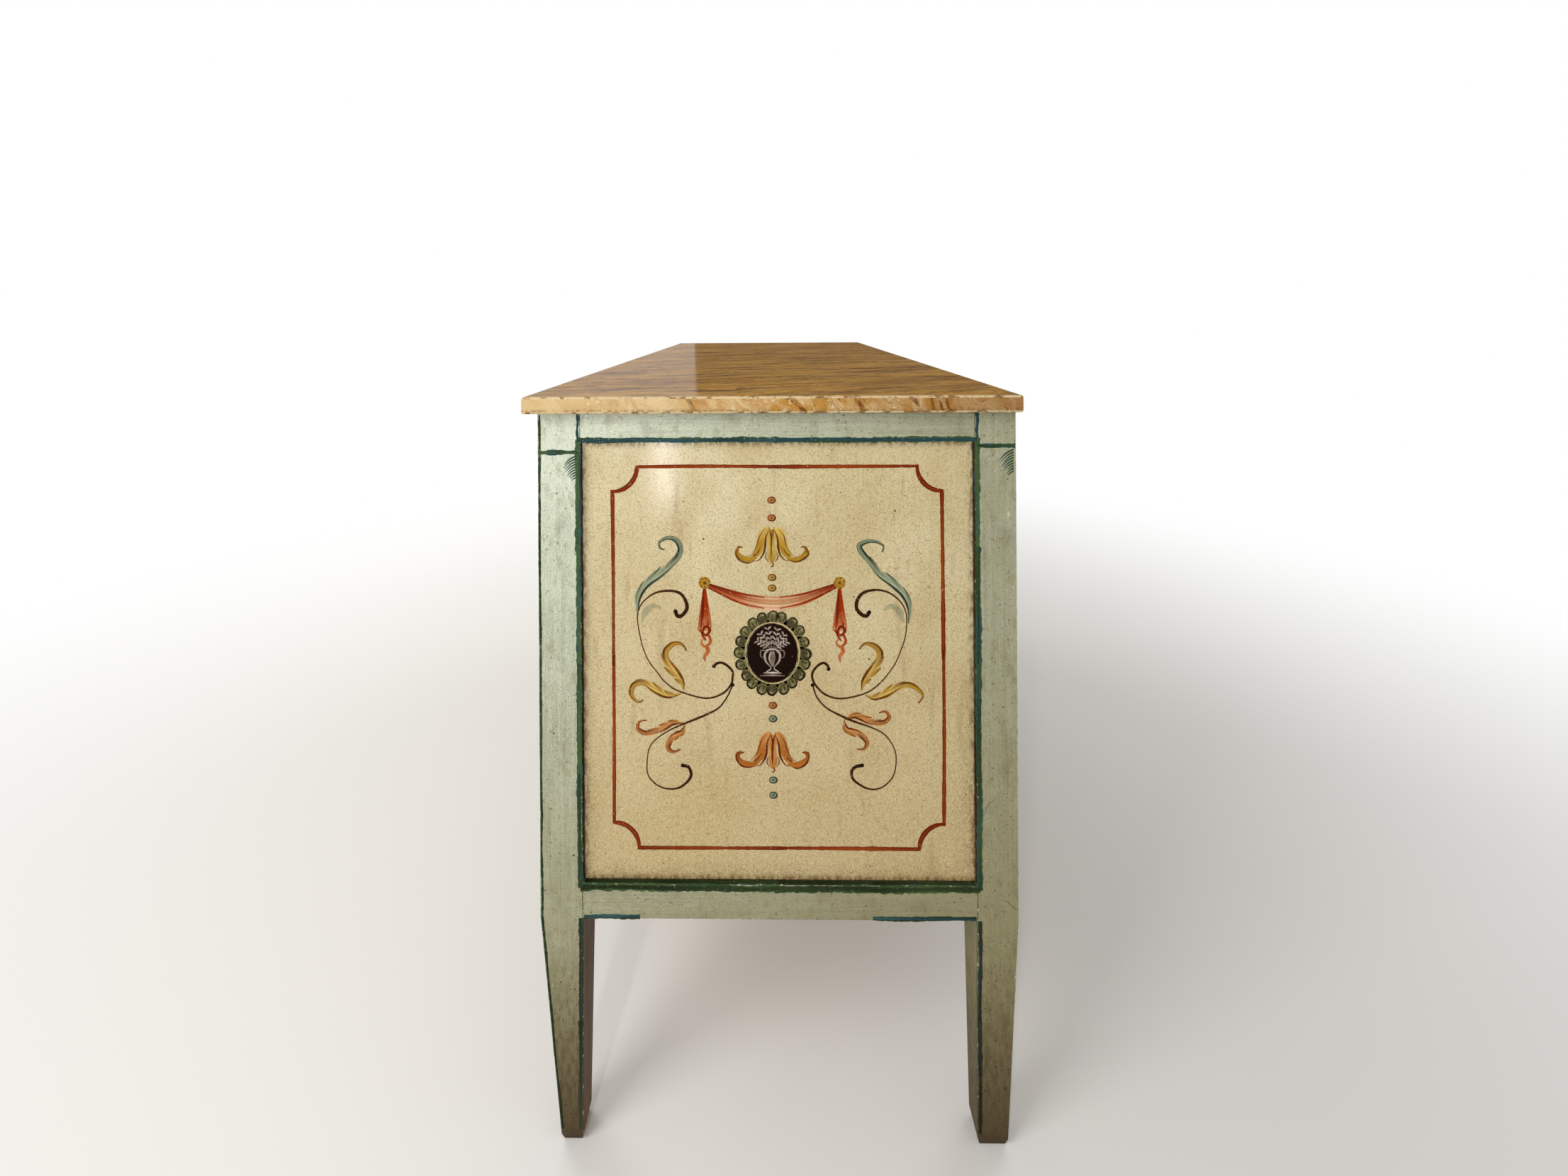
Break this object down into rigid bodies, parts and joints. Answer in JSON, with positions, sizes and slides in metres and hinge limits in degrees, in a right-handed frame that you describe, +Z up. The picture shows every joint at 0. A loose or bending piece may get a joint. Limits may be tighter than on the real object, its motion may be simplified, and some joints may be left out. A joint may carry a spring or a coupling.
{
  "type": "commode chest",
  "caption": "Painted neoclassical chest of drawers with a framed end panel, an overhanging faux-marble top, drop handles and square tapered legs.",
  "frame": {"origin": "on the floor, under the middle of the top slab", "axes": "+X along the chest's width, towards the right end as seen from the front; +Y from the drawer fronts towards the back; +Z up"},
  "size_m": [1.3, 0.55, 0.846],
  "materials": {
    "celadon_paint": "aged grey-green milk paint on softwood, worn and fly-specked",
    "cream_paint": "aged cream paint with painted ornament, dull old varnish",
    "faux_marble": "faux-marble paint under a glossy brown varnish",
    "raw_wood": "unfinished softwood, darkened with age",
    "old_brass": "cast brass with a dark patina",
    "lock_steel": "forged lock case, dull and darkened"
  },
  "bodies": {
    "case": {"top_slab": "faux_marble", "post_front_left": "celadon_paint", "post_front_right": "celadon_paint", "post_back_left": "celadon_paint", "post_back_right": "celadon_paint", "end_top_rail_left": "celadon_paint", "end_bottom_rail_left": "celadon_paint", "end_panel_left": "cream_paint", "end_top_rail_right": "celadon_paint", "end_bottom_rail_right": "celadon_paint", "end_panel_right": "cream_paint", "front_top_rail": "celadon_paint", "front_bottom_rail": "celadon_paint", "lower_drawer_divider": "celadon_paint", "upper_drawer_divider": "celadon_paint", "back_top_rail": "raw_wood", "back_bottom_rail": "raw_wood", "back_panel": "raw_wood", "lower_runner_left": "raw_wood", "lower_runner_right": "raw_wood", "middle_runner_left": "raw_wood", "middle_runner_right": "raw_wood", "upper_runner_left": "raw_wood", "upper_runner_right": "raw_wood", "kicker_left": "raw_wood", "kicker_right": "raw_wood"},
    "lower_drawer": {"lower_drawer_front": "cream_paint", "lower_drawer_side_left": "raw_wood", "lower_drawer_side_right": "raw_wood", "lower_drawer_back": "raw_wood", "lower_drawer_bottom": "raw_wood", "lower_drawer_lock": "lock_steel", "lower_drawer_escutcheon": "old_brass", "lower_drawer_plate_left": "old_brass", "lower_drawer_plate_right": "old_brass"},
    "middle_drawer": {"middle_drawer_front": "cream_paint", "middle_drawer_side_left": "raw_wood", "middle_drawer_side_right": "raw_wood", "middle_drawer_back": "raw_wood", "middle_drawer_bottom": "raw_wood", "middle_drawer_lock": "lock_steel", "middle_drawer_escutcheon": "old_brass", "middle_drawer_plate_left": "old_brass", "middle_drawer_plate_right": "old_brass"},
    "upper_drawer": {"upper_drawer_front": "cream_paint", "upper_drawer_side_left": "raw_wood", "upper_drawer_side_right": "raw_wood", "upper_drawer_back": "raw_wood", "upper_drawer_bottom": "raw_wood", "upper_drawer_lock": "lock_steel", "upper_drawer_escutcheon": "old_brass", "upper_drawer_plate_left": "old_brass", "upper_drawer_plate_right": "old_brass"},
    "lower_left_bail": {"lower_drawer_bail_left": "old_brass"},
    "lower_right_bail": {"lower_drawer_bail_right": "old_brass"},
    "middle_left_bail": {"middle_drawer_bail_left": "old_brass"},
    "middle_right_bail": {"middle_drawer_bail_right": "old_brass"},
    "upper_left_bail": {"upper_drawer_bail_left": "old_brass"},
    "upper_right_bail": {"upper_drawer_bail_right": "old_brass"}
  },
  "joints": [
    {"name": "lower_drawer_slide", "type": "slide", "parent": "case", "child": "lower_drawer", "axis": [0, -1, 0], "range_m": [0, 0.36]},
    {"name": "middle_drawer_slide", "type": "slide", "parent": "case", "child": "middle_drawer", "axis": [0, -1, 0], "range_m": [0, 0.36]},
    {"name": "upper_drawer_slide", "type": "slide", "parent": "case", "child": "upper_drawer", "axis": [0, -1, 0], "range_m": [0, 0.36]},
    {"name": "lower_left_bail_swing", "type": "hinge", "parent": "lower_drawer", "child": "lower_left_bail", "pos_m": [-0.38, -0.2705, 0.37467], "axis": [-1, 0, 0], "range_deg": [0, 100]},
    {"name": "lower_right_bail_swing", "type": "hinge", "parent": "lower_drawer", "child": "lower_right_bail", "pos_m": [0.38, -0.2705, 0.37467], "axis": [-1, 0, 0], "range_deg": [0, 100]},
    {"name": "middle_left_bail_swing", "type": "hinge", "parent": "middle_drawer", "child": "middle_left_bail", "pos_m": [-0.38, -0.2705, 0.546], "axis": [-1, 0, 0], "range_deg": [0, 100]},
    {"name": "middle_right_bail_swing", "type": "hinge", "parent": "middle_drawer", "child": "middle_right_bail", "pos_m": [0.38, -0.2705, 0.546], "axis": [-1, 0, 0], "range_deg": [0, 100]},
    {"name": "upper_left_bail_swing", "type": "hinge", "parent": "upper_drawer", "child": "upper_left_bail", "pos_m": [-0.38, -0.2705, 0.71733], "axis": [-1, 0, 0], "range_deg": [0, 100]},
    {"name": "upper_right_bail_swing", "type": "hinge", "parent": "upper_drawer", "child": "upper_right_bail", "pos_m": [0.38, -0.2705, 0.71733], "axis": [-1, 0, 0], "range_deg": [0, 100]}
  ]
}
